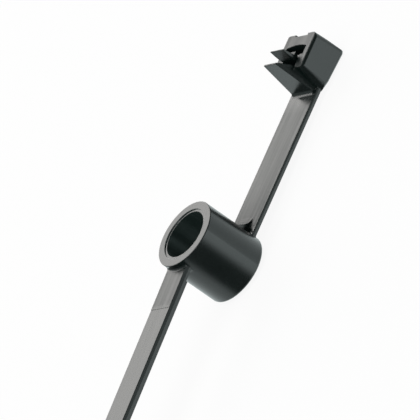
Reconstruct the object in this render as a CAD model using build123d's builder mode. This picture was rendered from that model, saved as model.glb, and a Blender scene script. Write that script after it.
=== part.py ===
from build123d import *
import os
from math import cos, hypot, radians, sin, tan

# Stud mount cable tie, moulded in one piece.
# Units are millimetres. +Z runs along the stud bore, away from the surface that the barrel sits on.
# The origin is the centre of the bore at the seating face. +X points along the tail strap.

# Barrel
barrel_diameter = 11.6
barrel_length = 11.1
bore_diameter = 8.1
mouth_step_diameter = 8.9
mouth_step_depth = 0.15
mouth_edge_radius = 0.12
seat_edge_radius = 0.45

# Head strap, between the barrel and the locking head
head_strap_width = 6.55
head_strap_thickness = 0.8
head_strap_height = 2.1
head_strap_reach = 31.0
head_strap_droop = 1.7
head_strap_fillet = 0.25

# Gusset on top of the head strap
gusset_width = 3.0
gusset_reach = 2.5
gusset_height = 2.3
gusset_hollow = 0.45

# Tail strap
tail_width = 4.95
tail_thickness = 1.25
tail_drop = 1.15
tail_length = 148.6
tail_top_fillet = 0.35
tail_under_fillet = 0.6

# Thicker root of the tail strap
root_reach = 12.7
root_step = 0.04
root_rise = 0.12
root_relief_reach = 1.7
root_relief_depth = 0.3

# Mould draft above and below the parting line, on both straps
parting_share = 0.45
upper_draft = 7.0
lower_draft = 8.0

# Tapered tip of the tail
tip_length = 16.0
tip_width = 2.4
tip_thickness = 0.9

# Teeth on the underside of the tail
tooth_pitch = 0.95
tooth_depth = 0.5
tooth_ramp_share = 0.85
tooth_track_width = 3.3
tooth_track_start = 14.0
tooth_track_end_margin = 6.0

# Locking head
head_width = 7.6
head_rise = 4.5
head_drop = 1.3
head_end_drop = 1.65
head_heel_reach = 2.6
head_length = 8.15
head_end_lean = 0.5
head_top_radius = 0.45
head_bottom_radius = 0.8
head_corner_radius = 0.85
end_wall = 2.35
end_recess_width = 3.1
end_recess_depth = 0.35

# Shoulders of the head, which lean back on either side of the nose
shoulder_setback = 0.6
shoulder_lean = 1.07
shoulder_top_radius = 0.65
shoulder_foot_radius = 1.7
shoulder_hollow = 0.5

# Nose, the raised front wall of the head
nose_height = 7.5
nose_lean = 0.5
nose_root_width = 5.4
nose_tip_width = 3.0
nose_tip_depth = 0.25
nose_ramp_height = 4.9
nose_fillet = 0.7

# Passage for the tail, and the pawl in it
slot_width = 5.1
slot_gap = 1.6
lead_in_width = 4.9
lead_in_bow = 0.35
lead_in_depth = 0.9
pawl_width = 3.3
pawl_clearance = 0.2
pawl_gap = 1.05
pawl_thickness = 0.65
pawl_belly = 0.15
pawl_rise = 7.4
pawl_ledge_height = 5.25
pawl_tooth_depth = 0.55
pawl_tooth_pitch = 0.95
pawl_tooth_count = 3
pawl_tip_thickness = 0.15
pawl_tip_setback = 0.35
pawl_corner_radius = 0.45
hinge_thickness = 0.8

# Places that follow from the sizes above
barrel_radius = barrel_diameter / 2
tail_top = barrel_length - tail_drop
tail_parting = tail_top - tail_thickness * parting_share
tail_bottom = tail_top - tail_thickness
tail_inset = (tail_top - tail_parting) * tan(radians(upper_draft))
tail_undercut = (tail_parting - tail_bottom) * tan(radians(lower_draft))
head_strap_parting = head_strap_thickness * parting_share
head_strap_inset = head_strap_parting * tan(radians(upper_draft))
head_strap_undercut = (head_strap_thickness - head_strap_parting) * tan(radians(lower_draft))
shoulder_slope = shoulder_lean / head_rise
shoulder_root = -(head_strap_reach + shoulder_setback)
shoulder_foot = shoulder_root + head_end_drop * shoulder_slope
shoulder_top = shoulder_root - shoulder_lean
box_end = -(head_strap_reach + head_length)
box_end_foot = box_end - head_end_lean
slot_back = box_end + end_wall
pawl_tooth_tip = slot_back + slot_gap
pawl_back = pawl_tooth_tip + pawl_tooth_depth
pawl_front = pawl_back + pawl_thickness
flex_front = pawl_front + pawl_gap
flex_width = pawl_width + 2 * pawl_clearance

# The head strap and the head lean together: their frame has its own X along the strap,
# and its Z is zero on the strap's upper face.
droop = radians(head_strap_droop)
head_frame = Plane(
    origin=(0, 0, head_strap_height),
    x_dir=(cos(droop), 0, sin(droop)),
    z_dir=(-sin(droop), 0, cos(droop)),
)
head_side = Plane(
    origin=(0, 0, head_strap_height),
    x_dir=(cos(droop), 0, sin(droop)),
    z_dir=(0, -1, 0),
)
head_section = Plane(
    origin=(0, 0, head_strap_height),
    x_dir=(0, 1, 0),
    z_dir=(cos(droop), 0, sin(droop)),
)


# Box of the head: it leans back in front, and a heel below rises to the strap
with BuildPart() as head_box:
    with BuildSketch(head_side) as box_profile:
        with BuildLine():
            Polyline(
                (-head_strap_reach, -head_strap_thickness),
                (-head_strap_reach, head_rise),
                (box_end, head_rise),
                (box_end_foot, -head_end_drop),
                (-head_strap_reach - head_heel_reach, -head_drop),
                close=True,
            )
        make_face()
    extrude(amount=head_width / 2, both=True)
    end_uprights = head_box.edges().filter_by(lambda e: e.center().X < slot_back and e.length > head_rise)
    fillet(end_uprights.filter_by(lambda e: abs(e.center().Y) > head_width / 4), head_corner_radius)
    box_underside = head_box.faces().filter_by(lambda f: f.normal_at().Z < -0.9).edges()
    box_underside = box_underside.filter_by(lambda e: abs(e.center().Y) > 0.1 or e.center().X < slot_back)
    fillet(box_underside, head_bottom_radius)
    shoulder_foot_plan = (-head_end_drop, shoulder_foot, shoulder_foot_radius)
    shoulder_top_plan = (head_rise, shoulder_top, shoulder_top_radius)
    for level, front, corner in (shoulder_foot_plan, shoulder_top_plan):
        with BuildSketch(head_frame.offset(level)):
            with BuildLine():
                Polyline(
                    (front - corner, head_width / 2),
                    (2 * box_end_foot, head_width / 2),
                    (2 * box_end_foot, -head_width / 2),
                    (front - corner, -head_width / 2),
                )
                RadiusArc((front - corner, -head_width / 2), (front, corner - head_width / 2), -corner)
                Line((front, corner - head_width / 2), (front, head_width / 2 - corner))
                RadiusArc((front, head_width / 2 - corner), (front - corner, head_width / 2), -corner)
            make_face()
    loft(ruled=True, mode=Mode.INTERSECT)
    with BuildSketch(head_section) as box_section:
        with BuildLine():
            Polyline(
                (-head_width / 2, head_rise - head_top_radius),
                (-head_width / 2, -head_end_drop),
                (head_width / 2, -head_end_drop),
                (head_width / 2, head_rise - head_top_radius),
            )
            RadiusArc(
                (head_width / 2, head_rise - head_top_radius),
                (head_width / 2 - head_top_radius, head_rise),
                -head_top_radius,
            )
            Line((head_width / 2 - head_top_radius, head_rise), (head_top_radius - head_width / 2, head_rise))
            RadiusArc(
                (head_top_radius - head_width / 2, head_rise),
                (-head_width / 2, head_rise - head_top_radius),
                -head_top_radius,
            )
        make_face()
    extrude(amount=box_end, mode=Mode.INTERSECT)

# Nose: a tapered wall, thin at its tip, with a ramp behind the tip
with BuildPart() as nose:
    with BuildSketch(head_side) as nose_profile:
        with BuildLine():
            Polyline(
                (-head_strap_reach, -head_strap_thickness / 2),
                (-head_strap_reach - nose_lean, nose_height),
                (-head_strap_reach - nose_lean - nose_tip_depth, nose_height),
                (flex_front, nose_ramp_height),
                (flex_front, -head_strap_thickness / 2),
                close=True,
            )
        make_face()
    extrude(amount=head_width / 2, both=True)
    with BuildSketch(head_section) as nose_outline:
        with BuildLine():
            Polyline(
                (-nose_root_width / 2, -head_strap_thickness / 2),
                (nose_root_width / 2, -head_strap_thickness / 2),
                (nose_tip_width / 2, nose_height),
                (-nose_tip_width / 2, nose_height),
                close=True,
            )
        make_face()
    extrude(amount=box_end, mode=Mode.INTERSECT)

# Pawl: a finger on a thin web, with flat-topped teeth that face the end wall
with BuildPart() as pawl:
    with BuildSketch(head_side) as pawl_profile:
        with BuildLine():
            tooth_line = []
            for index in range(pawl_tooth_count):
                tooth_top = pawl_ledge_height - index * pawl_tooth_pitch
                tooth_line.append((pawl_back, tooth_top))
                tooth_line.append((pawl_tooth_tip, tooth_top))
            Polyline(
                (flex_front, -head_drop),
                (flex_front, hinge_thickness - head_drop),
                (pawl_front, hinge_thickness - head_drop),
                (pawl_front + pawl_belly, pawl_ledge_height),
                (pawl_back + pawl_tip_setback + pawl_tip_thickness, pawl_rise),
                (pawl_back + pawl_tip_setback, pawl_rise),
                *tooth_line,
                (pawl_back, pawl_ledge_height - pawl_tooth_count * pawl_tooth_pitch),
                (pawl_back, -head_drop),
                close=True,
            )
        make_face()
    extrude(amount=pawl_width / 2, both=True)
    pawl_uprights = pawl.edges().filter_by(lambda e: abs(e.center().Y) > pawl_width / 2 - 0.01)
    fillet(pawl_uprights.filter_by(lambda e: e.length > pawl_ledge_height), pawl_corner_radius)

# Section of the tail strap, in its own width and height
tail_outline = Polyline(
    (-tail_width / 2 + tail_inset, tail_top),
    (tail_width / 2 - tail_inset, tail_top),
    (tail_width / 2, tail_parting),
    (tail_width / 2 - tail_undercut, tail_bottom),
    (-tail_width / 2 + tail_undercut, tail_bottom),
    (-tail_width / 2, tail_parting),
    close=True,
)

with BuildPart() as cable_tie:
    # Tail strap, drafted above and below the parting line
    with BuildSketch(Plane.YZ) as tail_section:
        add(tail_outline)
        make_face()
    extrude(amount=tail_length - tip_length)

    # Root of the tail strap: slightly thicker above, relieved below beside the barrel
    with BuildSketch(Plane.XZ) as root_profile:
        with BuildLine():
            Polyline(
                (0, tail_parting),
                (0, tail_top + root_rise),
                (root_reach, tail_top + root_step),
                (root_reach, tail_parting),
                close=True,
            )
        make_face()
    extrude(amount=tail_width / 2 - tail_inset, both=True)
    with BuildSketch(Plane.XZ) as relief_profile:
        with Locations((0, tail_bottom)):
            Rectangle(barrel_radius + root_relief_reach, root_relief_depth, align=(Align.MIN, Align.MIN))
    extrude(amount=tail_width, both=True, mode=Mode.SUBTRACT)

    # Barrel
    with BuildSketch(Plane(origin=(0, 0, 0), x_dir=(0, 1, 0), z_dir=(0, 0, 1))) as barrel_plan:
        Circle(barrel_radius)
    extrude(amount=barrel_length)

    # Head strap
    with BuildSketch(head_section) as head_strap_section:
        with BuildLine():
            Polyline(
                (-head_strap_width / 2 + head_strap_inset, 0),
                (head_strap_width / 2 - head_strap_inset, 0),
                (head_strap_width / 2, -head_strap_parting),
                (head_strap_width / 2 - head_strap_undercut, -head_strap_thickness),
                (-head_strap_width / 2 + head_strap_undercut, -head_strap_thickness),
                (-head_strap_width / 2, -head_strap_parting),
                close=True,
            )
        make_face()
    extrude(amount=-(head_strap_reach + head_heel_reach))

    # Fillets where the straps run into the barrel
    arcs = cable_tie.edges().filter_by(lambda e: e.geom_type in (GeomType.CIRCLE, GeomType.ELLIPSE))
    tail_top_arcs = arcs.filter_by(
        lambda e: e.center().X > 0 and tail_top - 0.1 < e.center().Z < barrel_length - 0.1
    )
    fillet(tail_top_arcs, tail_top_fillet)
    arcs = cable_tie.edges().filter_by(lambda e: e.geom_type in (GeomType.CIRCLE, GeomType.ELLIPSE))
    tail_under_arcs = arcs.filter_by(
        lambda e: e.center().X > 0 and abs(e.center().Z - tail_bottom - root_relief_depth) < 0.05
    )
    fillet(tail_under_arcs, tail_under_fillet)
    arcs = cable_tie.edges().filter_by(lambda e: e.geom_type in (GeomType.CIRCLE, GeomType.ELLIPSE))
    head_strap_arcs = arcs.filter_by(lambda e: e.center().X < -barrel_radius / 2 and e.length > 1)
    head_strap_arcs = head_strap_arcs.filter_by(lambda e: 0.1 < e.center().Z < barrel_length / 2)
    fillet(head_strap_arcs, head_strap_fillet)

    # Gusset that ties the head strap to the barrel
    with BuildSketch(head_side) as gusset_profile:
        with BuildLine():
            Polyline(
                (-barrel_radius - gusset_reach, 0),
                (-barrel_radius - gusset_reach, -head_strap_parting),
                (-barrel_radius / 2, -head_strap_parting),
                (-barrel_radius / 2, gusset_height),
                (-barrel_radius + gusset_hollow / 2, gusset_height),
            )
            ThreePointArc(
                (-barrel_radius + gusset_hollow / 2, gusset_height),
                (-barrel_radius - gusset_reach / 2 + gusset_hollow, gusset_height / 2 - gusset_hollow),
                (-barrel_radius - gusset_reach, 0),
            )
        make_face()
    extrude(amount=gusset_width / 2, both=True)

    # Tapered tip of the tail
    tip_parting = tail_top - tip_thickness * parting_share
    tip_bottom = tail_top - tip_thickness
    tip_inset = (tail_top - tip_parting) * tan(radians(upper_draft))
    tip_undercut = (tip_parting - tip_bottom) * tan(radians(lower_draft))
    with BuildSketch(Plane.YZ.offset(tail_length - tip_length)) as tip_start:
        add(tail_outline)
        make_face()
    with BuildSketch(Plane.YZ.offset(tail_length)) as tip_end:
        with BuildLine():
            Polyline(
                (-tip_width / 2 + tip_inset, tail_top),
                (tip_width / 2 - tip_inset, tail_top),
                (tip_width / 2, tip_parting),
                (tip_width / 2 - tip_undercut, tip_bottom),
                (-tip_width / 2 + tip_undercut, tip_bottom),
                (-tip_width / 2, tip_parting),
                close=True,
            )
        make_face()
    loft(ruled=True)
    tip_round = tip_width / 2 / (1 - (tail_width - tip_width) / 2 / tip_length)
    with BuildSketch(Plane.XY) as tip_round_plan:
        with Locations((tail_length, 0)):
            Rectangle(tip_round, tail_width, align=(Align.MAX, Align.CENTER))
        with Locations((tail_length - tip_round, 0)):
            Circle(tip_round, mode=Mode.SUBTRACT)
    extrude(amount=barrel_length, mode=Mode.SUBTRACT)

    # Head
    add(head_box.part)
    add(nose.part)
    nose_foot_height = head_strap_height - head_strap_reach * sin(droop)
    nose_foot = cable_tie.edges().filter_by(lambda e: e.bounding_box().size.Y > nose_tip_width).filter_by(
        lambda e: abs(e.center().X + head_strap_reach) < 0.1 and abs(e.center().Z - nose_foot_height) < 0.1
    )
    fillet(nose_foot, nose_fillet)
    hollows = cable_tie.edges().filter_by(lambda e: e.length > head_rise / 2 and e.center().Z < head_rise)
    hollows = hollows.filter_by(lambda e: nose_tip_width / 2 < abs(e.center().Y) < nose_root_width / 2)
    hollows = hollows.filter_by(lambda e: flex_front < e.center().X < shoulder_root)
    fillet(hollows, shoulder_hollow)

    # Passage for the tail, right through the head
    with BuildSketch(head_frame) as slot_plan:
        with Locations((slot_back, 0)):
            Rectangle(slot_gap, slot_width, align=(Align.MIN, Align.CENTER))
        with Locations((pawl_tooth_tip, 0)):
            Rectangle(pawl_tooth_depth, flex_width, align=(Align.MIN, Align.CENTER))
    extrude(amount=head_rise + nose_height, both=True, mode=Mode.SUBTRACT)

    # Bowed lead-in at the top of the end wall
    with BuildSketch(head_frame.offset(head_rise)) as lead_in:
        with BuildLine():
            Polyline(
                (slot_back, -lead_in_width / 2),
                (slot_back + slot_gap / 2, -lead_in_width / 2),
                (slot_back + slot_gap / 2, lead_in_width / 2),
                (slot_back, lead_in_width / 2),
            )
            ThreePointArc(
                (slot_back, lead_in_width / 2), (slot_back - lead_in_bow, 0), (slot_back, -lead_in_width / 2)
            )
        make_face()
    extrude(
        amount=hypot(lead_in_bow, lead_in_depth),
        dir=head_frame.x_dir * lead_in_bow - head_frame.z_dir * lead_in_depth,
        mode=Mode.SUBTRACT,
    )

    # Space round the pawl, closed below by the web that the pawl bends on
    with BuildSketch(head_frame.offset(hinge_thickness - head_drop)) as flex_plan:
        with Locations((pawl_back, 0)):
            Rectangle(pawl_thickness + pawl_gap, flex_width, align=(Align.MIN, Align.CENTER))
    extrude(amount=head_drop + nose_height, mode=Mode.SUBTRACT)
    add(pawl.part)

    # Shallow recess down the outside of the end wall
    with BuildSketch(head_side) as recess_profile:
        with BuildLine():
            Polyline(
                (box_end - end_recess_depth, head_rise),
                (box_end + end_recess_depth, head_rise),
                (box_end_foot + end_recess_depth, -head_end_drop),
                (box_end_foot - end_recess_depth, -head_end_drop),
                close=True,
            )
        make_face()
    extrude(amount=end_recess_width / 2, both=True, mode=Mode.SUBTRACT)

    # Teeth on the underside of the tail, between two plain rails
    tooth_track_length = tail_length - tip_length - tooth_track_end_margin - tooth_track_start
    tooth_count = int(tooth_track_length / tooth_pitch)
    tooth_ramp = tooth_pitch * tooth_ramp_share
    with BuildSketch(Plane.XZ) as tooth_gaps:
        with BuildLine():
            gap_line = []
            for index in range(tooth_count):
                gap_start = tooth_track_start + index * tooth_pitch
                gap_line.append((gap_start, tail_bottom))
                gap_line.append((gap_start + tooth_ramp, tail_bottom + tooth_depth))
                gap_line.append((gap_start + tooth_ramp, tail_bottom))
            Polyline(
                (tooth_track_start, tail_bottom - tooth_depth),
                *gap_line,
                (gap_start + tooth_ramp, tail_bottom - tooth_depth),
                close=True,
            )
        make_face()
    extrude(amount=tooth_track_width / 2, both=True, mode=Mode.SUBTRACT)

    # Stud bore, with a shallow step round its mouth
    with BuildSketch(Plane.XY) as bore_plan:
        Circle(bore_diameter / 2)
    extrude(amount=barrel_length, mode=Mode.SUBTRACT)
    with BuildSketch(Plane.XY.offset(barrel_length)) as step_plan:
        Circle(mouth_step_diameter / 2)
    extrude(amount=-mouth_step_depth, mode=Mode.SUBTRACT)
    rims = cable_tie.edges().filter_by(GeomType.CIRCLE).filter_by(lambda e: e.radius > barrel_radius - 0.1)
    fillet(rims.filter_by(lambda e: abs(e.center().Z) < 0.001), seat_edge_radius)
    rims = cable_tie.edges().filter_by(GeomType.CIRCLE).filter_by(lambda e: e.radius > barrel_radius - 0.1)
    fillet(rims.filter_by(lambda e: e.center().Z > barrel_length - 0.001), mouth_edge_radius)

print("solids", len(cable_tie.solids()), "volume", round(cable_tie.part.volume, 3))
os.makedirs("parts", exist_ok=True)
cable_tie.part.label = "cable_tie"
export_step(cable_tie.part, "parts/cable_tie.step")
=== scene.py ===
import math
import bpy
from mathutils import Matrix, Vector


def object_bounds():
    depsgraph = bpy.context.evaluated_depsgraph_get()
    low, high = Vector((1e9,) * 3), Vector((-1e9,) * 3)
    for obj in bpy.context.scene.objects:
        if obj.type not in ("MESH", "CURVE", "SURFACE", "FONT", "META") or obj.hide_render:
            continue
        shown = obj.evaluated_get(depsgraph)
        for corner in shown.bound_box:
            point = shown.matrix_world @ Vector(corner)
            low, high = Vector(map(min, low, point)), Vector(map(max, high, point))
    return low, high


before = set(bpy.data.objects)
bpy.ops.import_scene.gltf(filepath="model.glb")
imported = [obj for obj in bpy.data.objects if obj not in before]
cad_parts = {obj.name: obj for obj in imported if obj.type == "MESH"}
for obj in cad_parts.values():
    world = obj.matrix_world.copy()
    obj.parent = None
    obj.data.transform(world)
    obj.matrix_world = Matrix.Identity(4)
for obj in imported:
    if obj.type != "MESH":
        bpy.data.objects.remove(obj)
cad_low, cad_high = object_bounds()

# Lengths are in metres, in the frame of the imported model: +Z along the stud bore, +X along the tail strap.
MM = 0.001

# Camera, fitted to the photograph: its right and up directions, how far its middle lies from the centre of
# the bore's mouth along them, and the width of the field
CAMERA_RIGHT = Vector((-0.3551, 0.5849, -0.7293))
CAMERA_UP = Vector((-0.8534, 0.1157, 0.5083))
MOUTH_CENTRE = Vector((0.0, 0.0, 11.1)) * MM
TARGET_RIGHT = 3.904 * MM
TARGET_UP = 3.623 * MM
FIELD = 64.07 * MM
LENS = 1600.0
SENSOR = 36.0

# Colours and finish of the moulded nylon
NYLON_DARK = (0.0045, 0.0095, 0.0085, 1.0)
NYLON_LIGHT = (0.0075, 0.0130, 0.0120, 1.0)
NYLON_IOR = 1.5
NYLON_EDGE = 0.15 * MM
GRAIN_SCALE = 6000.0
GRAIN_STRENGTH = 0.03
GRAIN_DEPTH = 0.05 * MM

# Noise is drawn out along the axes with a low stretch, and a face counts as a flat top by its normal's Z
CLOUD_STRETCH = (180.0, 180.0, 180.0)
STREAK_STRETCH = (40.0, 1700.0, 1700.0)
MARK_STRETCH = (400.0, 400.0, 25.0)
TOP_START = 0.7
TOP_FULL = 0.9

# Roughness of the sides, and of the flat tops along the part: places along it, and the level at each
HEAD_END = -40.0 * MM
TAIL_END = 150.0 * MM
SIDE_ROUGH = 0.25
TOP_ROUGH = [
    (HEAD_END, 0.44),
    (-31.4 * MM, 0.44),
    (-31.3 * MM, 0.20),
    (-27.5 * MM, 0.41),
    (-14.0 * MM, 0.44),
    (-6.0 * MM, 0.52),
    (-5.9 * MM, 0.18),
    (5.8 * MM, 0.18),
    (5.9 * MM, 0.38),
    (12.6 * MM, 0.38),
    (12.7 * MM, 0.21),
]
ROUGH_CLOUD = 0.03
ROUGH_STREAK = 0.18

# Inside of the bore: painted light, a paler colour that stands in for light falling on the inner wall, with
# lengthwise moulding marks that run along it
BORE_RADIUS = 4.47 * MM
BORE_MARKS_AND_PAINTED_LIGHT_LOW = (0.022, 0.036, 0.033, 1.0)
BORE_MARKS_AND_PAINTED_LIGHT_HIGH = (0.085, 0.115, 0.110, 1.0)

# Surroundings: a pale sheet below, with darker and brighter cards. A card is its azimuth and elevation in
# degrees, the angles from its middle where it is full and where it ends, and its level.
WORLD_TINT = (0.90, 1.0, 1.0, 1.0)
WORLD_LEVEL = 0.12
BELOW_START = 0.22
BELOW_FULL = 0.42
BELOW_LEVEL = 1.1
DARK_CARDS = [(38.0, -25.0, 22.0, 44.0, 1.0)]
BRIGHT_CARDS = [
    (104.0, -30.0, 6.0, 22.0, 1.1),
    (-61.0, 20.0, 14.0, 40.0, 0.24),
    (207.0, 4.0, 8.0, 24.0, 0.5),
]

# Lamps: the soft panel that the tops mirror to the camera, and a fill from above. Sizes are in metres and
# powers in watts.
PANEL_DISTANCE = 0.9
PANEL_SIZE = (1.1, 0.8)
PANEL_POWER = 8.5
PANEL_COLOUR = (1.0, 0.98, 0.96)
FILL_AZIMUTH = 30.0
FILL_ELEVATION = 65.0
FILL_DISTANCE = 1.0
FILL_SIZE = (0.8, 0.8)
FILL_POWER = 6.0
FILL_COLOUR = (1.0, 1.0, 1.0)

FLOOR_COLOUR = (0.90, 0.90, 0.90, 1.0)
FLOOR_GLOW = 0.92
FLOOR_SIZE = 8.0


def camera_back():
    return CAMERA_RIGHT.cross(CAMERA_UP).normalized()


def make_camera():
    right = CAMERA_RIGHT.normalized()
    back = camera_back()
    up = back.cross(right)
    target = MOUTH_CENTRE + right * TARGET_RIGHT + up * TARGET_UP
    data = bpy.data.cameras.new("camera")
    data.lens = LENS
    data.sensor_width = SENSOR
    distance = FIELD * LENS / SENSOR
    data.clip_start = distance * 0.05
    data.clip_end = 20.0
    camera = bpy.data.objects.new("camera", data)
    bpy.context.scene.collection.objects.link(camera)
    turn = Matrix((right, up, back)).transposed().to_4x4()
    camera.matrix_world = Matrix.Translation(target + back * distance) @ turn
    bpy.context.scene.camera = camera
    return target


def area_light(name, target, direction, distance, size, power, colour):
    data = bpy.data.lights.new(name, "AREA")
    data.shape = "RECTANGLE"
    data.size = size[0]
    data.size_y = size[1]
    data.energy = power
    data.color = colour
    light = bpy.data.objects.new(name, data)
    bpy.context.scene.collection.objects.link(light)
    away = Vector(direction).normalized()
    turn = away.to_track_quat("Z", "Y").to_matrix().to_4x4()
    light.matrix_world = Matrix.Translation(Vector(target) + away * distance) @ turn
    light.visible_camera = False


def node(tree, kind, place, **values):
    made = tree.nodes.new(kind)
    made.location = place
    for key, value in values.items():
        if key in made.inputs:
            made.inputs[key].default_value = value
        else:
            setattr(made, key, value)
    return made


def stretched_noise(tree, vector, stretch, detail, place):
    scaled = node(tree, "ShaderNodeVectorMath", place, operation="MULTIPLY")
    scaled.inputs[1].default_value = stretch
    tree.links.new(vector, scaled.inputs[0])
    noise = node(tree, "ShaderNodeTexNoise", (place[0] + 200, place[1]))
    noise.inputs["Scale"].default_value = 1.0
    noise.inputs["Detail"].default_value = detail
    tree.links.new(scaled.outputs["Vector"], noise.inputs["Vector"])
    return noise.outputs["Fac"]


def zones(tree, along, starts, place):
    """A value that changes along the part."""
    span = node(tree, "ShaderNodeMapRange", place)
    span.inputs["From Min"].default_value = HEAD_END
    span.inputs["From Max"].default_value = TAIL_END
    tree.links.new(along, span.inputs["Value"])
    ramp = node(tree, "ShaderNodeValToRGB", (place[0] + 200, place[1]))
    while len(ramp.color_ramp.elements) < len(starts):
        ramp.color_ramp.elements.new(1.0)
    for element, (start, value) in zip(ramp.color_ramp.elements, starts):
        element.position = (start - HEAD_END) / (TAIL_END - HEAD_END)
        element.color = (value, value, value, 1.0)
    tree.links.new(span.outputs["Result"], ramp.inputs["Fac"])
    return ramp.outputs["Color"]


def two_colours(tree, value, low, high, place):
    ramp = node(tree, "ShaderNodeValToRGB", place)
    ramp.color_ramp.elements[0].position = 0.35
    ramp.color_ramp.elements[0].color = low
    ramp.color_ramp.elements[1].position = 0.65
    ramp.color_ramp.elements[1].color = high
    tree.links.new(value, ramp.inputs["Fac"])
    return ramp.outputs["Color"]


def bore_distance(tree, split, place):
    """Distance from the axis of the bore."""
    flat = node(tree, "ShaderNodeCombineXYZ", place)
    tree.links.new(split.outputs["X"], flat.inputs["X"])
    tree.links.new(split.outputs["Y"], flat.inputs["Y"])
    radius = node(tree, "ShaderNodeVectorMath", (place[0] + 200, place[1]), operation="LENGTH")
    tree.links.new(flat.outputs["Vector"], radius.inputs[0])
    return radius.outputs["Value"]


def nylon_material():
    material = bpy.data.materials.new("nylon")
    material.use_nodes = True
    tree = material.node_tree
    tree.nodes.clear()
    out = node(tree, "ShaderNodeOutputMaterial", (1300, 0))
    shader = node(tree, "ShaderNodeBsdfPrincipled", (1000, 0))
    shader.inputs["IOR"].default_value = NYLON_IOR
    tree.links.new(shader.outputs["BSDF"], out.inputs["Surface"])
    place = node(tree, "ShaderNodeTexCoord", (-1600, 0)).outputs["Object"]
    split = node(tree, "ShaderNodeSeparateXYZ", (-1400, 500))
    tree.links.new(place, split.inputs["Vector"])

    # The flat tops, where the mould has another finish
    normal = node(tree, "ShaderNodeNewGeometry", (-1600, -500)).outputs["True Normal"]
    facing = node(tree, "ShaderNodeSeparateXYZ", (-1400, -500))
    tree.links.new(normal, facing.inputs["Vector"])
    top = soft_step(tree, facing.outputs["Z"], TOP_START, TOP_FULL, (-1200, -500))

    # Cloudy black outside; inside the bore, painted light (a paler colour standing in for light on the inner
    # wall) with lengthwise marks
    cloud = stretched_noise(tree, place, CLOUD_STRETCH, 4.0, (-1200, 200))
    outside = two_colours(tree, cloud, NYLON_DARK, NYLON_LIGHT, (-600, 200))
    marks = stretched_noise(tree, place, MARK_STRETCH, 2.0, (-1200, 500))
    inside = two_colours(tree, marks, BORE_MARKS_AND_PAINTED_LIGHT_LOW, BORE_MARKS_AND_PAINTED_LIGHT_HIGH, (-600, 500))
    # Mask for the bore's painted light: the inner wall, not the flat tops
    painted_bore_light_mask = maths(tree, "LESS_THAN", bore_distance(tree, split, (-1200, 800)), BORE_RADIUS, (-800, 800))
    painted_bore_light_mask = maths(tree, "MULTIPLY", painted_bore_light_mask, maths(tree, "SUBTRACT", 1.0, top, (-800, 1000)), (-600, 800))
    colour = node(tree, "ShaderNodeMix", (-200, 300), data_type="RGBA")
    tree.links.new(painted_bore_light_mask, colour.inputs["Factor"])
    tree.links.new(outside, colour.inputs["A"])
    tree.links.new(inside, colour.inputs["B"])
    tree.links.new(colour.outputs["Result"], shader.inputs["Base Color"])

    # Roughness: one level on the sides, a changing one on the tops, clouds, and streaks along the tops
    zone = zones(tree, split.outputs["X"], TOP_ROUGH, (-1200, -100))
    level = node(tree, "ShaderNodeMix", (-600, -50), data_type="FLOAT")
    level.inputs["A"].default_value = SIDE_ROUGH
    tree.links.new(top, level.inputs["Factor"])
    tree.links.new(zone, level.inputs["B"])
    streaks = stretched_noise(tree, place, STREAK_STRETCH, 3.0, (-1200, -300))
    cloud_part = maths(tree, "MULTIPLY_ADD", cloud, ROUGH_CLOUD * 2, (-600, -250))
    cloud_part.node.inputs[2].default_value = -ROUGH_CLOUD
    streak_part = maths(tree, "MULTIPLY_ADD", streaks, ROUGH_STREAK * 2, (-600, -450))
    streak_part.node.inputs[2].default_value = -ROUGH_STREAK
    streak_part = maths(tree, "MULTIPLY", streak_part, top, (-400, -450))
    rough = maths(tree, "ADD", level.outputs["Result"], cloud_part, (-300, -100))
    rough = maths(tree, "ADD", rough, streak_part, (-100, -100))
    tree.links.new(rough, shader.inputs["Roughness"])

    # Soft moulded edges and a very fine grain
    edge = node(tree, "ShaderNodeBevel", (300, -400), samples=6)
    edge.inputs["Radius"].default_value = NYLON_EDGE
    grain = node(tree, "ShaderNodeTexNoise", (300, -600))
    grain.inputs["Scale"].default_value = GRAIN_SCALE
    grain.inputs["Detail"].default_value = 3.0
    tree.links.new(place, grain.inputs["Vector"])
    bump = node(tree, "ShaderNodeBump", (700, -400))
    bump.inputs["Strength"].default_value = GRAIN_STRENGTH
    bump.inputs["Distance"].default_value = GRAIN_DEPTH
    tree.links.new(grain.outputs["Fac"], bump.inputs["Height"])
    tree.links.new(edge.outputs["Normal"], bump.inputs["Normal"])
    tree.links.new(bump.outputs["Normal"], shader.inputs["Normal"])
    return material


def floor_material():
    material = bpy.data.materials.new("floor")
    material.use_nodes = True
    tree = material.node_tree
    tree.nodes.clear()
    out = node(tree, "ShaderNodeOutputMaterial", (600, 0))
    diffuse = node(tree, "ShaderNodeBsdfDiffuse", (0, 100))
    diffuse.inputs["Color"].default_value = FLOOR_COLOUR
    glow = node(tree, "ShaderNodeEmission", (0, -100))
    glow.inputs["Strength"].default_value = 1.0
    path = node(tree, "ShaderNodeLightPath", (-900, 200))
    seen = maths(tree, "ADD", path.outputs["Is Camera Ray"], path.outputs["Is Glossy Ray"], (-700, 200))
    seen = maths(tree, "ADD", seen, path.outputs["Is Transmission Ray"], (-500, 200))
    share = maths(tree, "MULTIPLY", seen, FLOOR_GLOW, (-200, 200))
    mix = node(tree, "ShaderNodeMixShader", (300, 0))
    tree.links.new(share, mix.inputs["Fac"])
    tree.links.new(diffuse.outputs["BSDF"], mix.inputs[1])
    tree.links.new(glow.outputs["Emission"], mix.inputs[2])
    tree.links.new(mix.outputs["Shader"], out.inputs["Surface"])
    return material


def make_floor(height):
    half = FLOOR_SIZE / 2
    mesh = bpy.data.meshes.new("floor")
    corners = [(-half, -half, height), (half, -half, height), (half, half, height), (-half, half, height)]
    mesh.from_pydata(corners, [], [(0, 1, 2, 3)])
    floor = bpy.data.objects.new("floor", mesh)
    bpy.context.scene.collection.objects.link(floor)
    mesh.materials.append(floor_material())
    floor.visible_glossy = False


def direction(azimuth, elevation):
    a = math.radians(azimuth)
    e = math.radians(elevation)
    return Vector((math.cos(e) * math.cos(a), math.cos(e) * math.sin(a), math.sin(e)))


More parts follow.
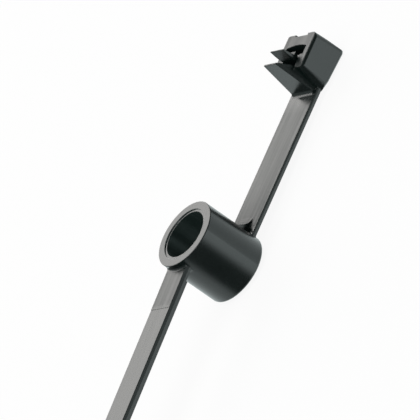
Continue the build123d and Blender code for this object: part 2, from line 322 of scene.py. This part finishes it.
def soft_step(tree, value, low, high, place):
    step = node(tree, "ShaderNodeMapRange", place)
    step.interpolation_type = "SMOOTHSTEP"
    step.inputs["From Min"].default_value = low
    step.inputs["From Max"].default_value = high
    tree.links.new(value, step.inputs["Value"])
    return step.outputs["Result"]


def maths(tree, operation, first, second, place):
    made = node(tree, "ShaderNodeMath", place)
    made.operation = operation
    for socket, value in zip(made.inputs, (first, second)):
        if isinstance(value, float):
            socket.default_value = value
        else:
            tree.links.new(value, socket)
    return made.outputs["Value"]


def card(tree, ray, azimuth, elevation, inner, outer, place):
    """A round soft patch of the surroundings: 1 inside the inner angle, 0 beyond the outer one."""
    dot = node(tree, "ShaderNodeVectorMath", place, operation="DOT_PRODUCT")
    dot.inputs[1].default_value = direction(azimuth, elevation)
    tree.links.new(ray, dot.inputs[0])
    low, high = math.cos(math.radians(outer)), math.cos(math.radians(inner))
    return soft_step(tree, dot.outputs["Value"], low, high, (place[0] + 200, place[1]))


def make_world():
    world = bpy.data.worlds.new("studio")
    bpy.context.scene.world = world
    world.use_nodes = True
    tree = world.node_tree
    tree.nodes.clear()
    out = node(tree, "ShaderNodeOutputWorld", (500, 0))
    background = node(tree, "ShaderNodeBackground", (0, 0))
    place = node(tree, "ShaderNodeTexCoord", (-1600, 0))
    ray = place.outputs["Generated"]
    split = node(tree, "ShaderNodeSeparateXYZ", (-1400, 300))
    tree.links.new(ray, split.inputs["Vector"])
    below = soft_step(tree, split.outputs["Z"], -BELOW_START, -BELOW_FULL, (-1200, 300))
    total = maths(tree, "MULTIPLY", below, BELOW_LEVEL, (-1000, 300))
    y = 0
    for azimuth, elevation, inner, outer, share in DARK_CARDS:
        patch = card(tree, ray, azimuth, elevation, inner, outer, (-1400, y))
        keep = maths(tree, "MULTIPLY_ADD", patch, -share, (-900, y))
        keep.node.inputs[2].default_value = 1.0
        total = maths(tree, "MULTIPLY", total, keep, (-700, y))
        y -= 200
    for azimuth, elevation, inner, outer, level in BRIGHT_CARDS:
        patch = card(tree, ray, azimuth, elevation, inner, outer, (-1400, y))
        extra = maths(tree, "MULTIPLY", patch, level, (-900, y))
        total = maths(tree, "ADD", total, extra, (-700, y))
        y -= 200
    total = maths(tree, "ADD", total, WORLD_LEVEL, (-300, 0))
    background.inputs["Color"].default_value = WORLD_TINT
    tree.links.new(total, background.inputs["Strength"])

    # The camera itself sees plain white past the floor
    white = node(tree, "ShaderNodeBackground", (0, -200))
    white.inputs["Color"].default_value = (1.0, 1.0, 1.0, 1.0)
    path = node(tree, "ShaderNodeLightPath", (0, 300))
    mix = node(tree, "ShaderNodeMixShader", (300, 0))
    tree.links.new(path.outputs["Is Camera Ray"], mix.inputs["Fac"])
    tree.links.new(background.outputs["Background"], mix.inputs[1])
    tree.links.new(white.outputs["Background"], mix.inputs[2])
    tree.links.new(mix.outputs["Shader"], out.inputs["Surface"])


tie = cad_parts["cable_tie"]
nylon = nylon_material()
for slot in tie.material_slots:
    slot.material = nylon

target = make_camera()
back = camera_back()
mirrored = Vector((-back.x, -back.y, back.z))
above = direction(FILL_AZIMUTH, FILL_ELEVATION)
area_light("back softbox", target, mirrored, PANEL_DISTANCE, PANEL_SIZE, PANEL_POWER, PANEL_COLOUR)
area_light("top fill", target, above, FILL_DISTANCE, FILL_SIZE, FILL_POWER, FILL_COLOUR)
make_world()
make_floor(cad_low.z)

scene = bpy.context.scene
scene.view_settings.view_transform = "Standard"
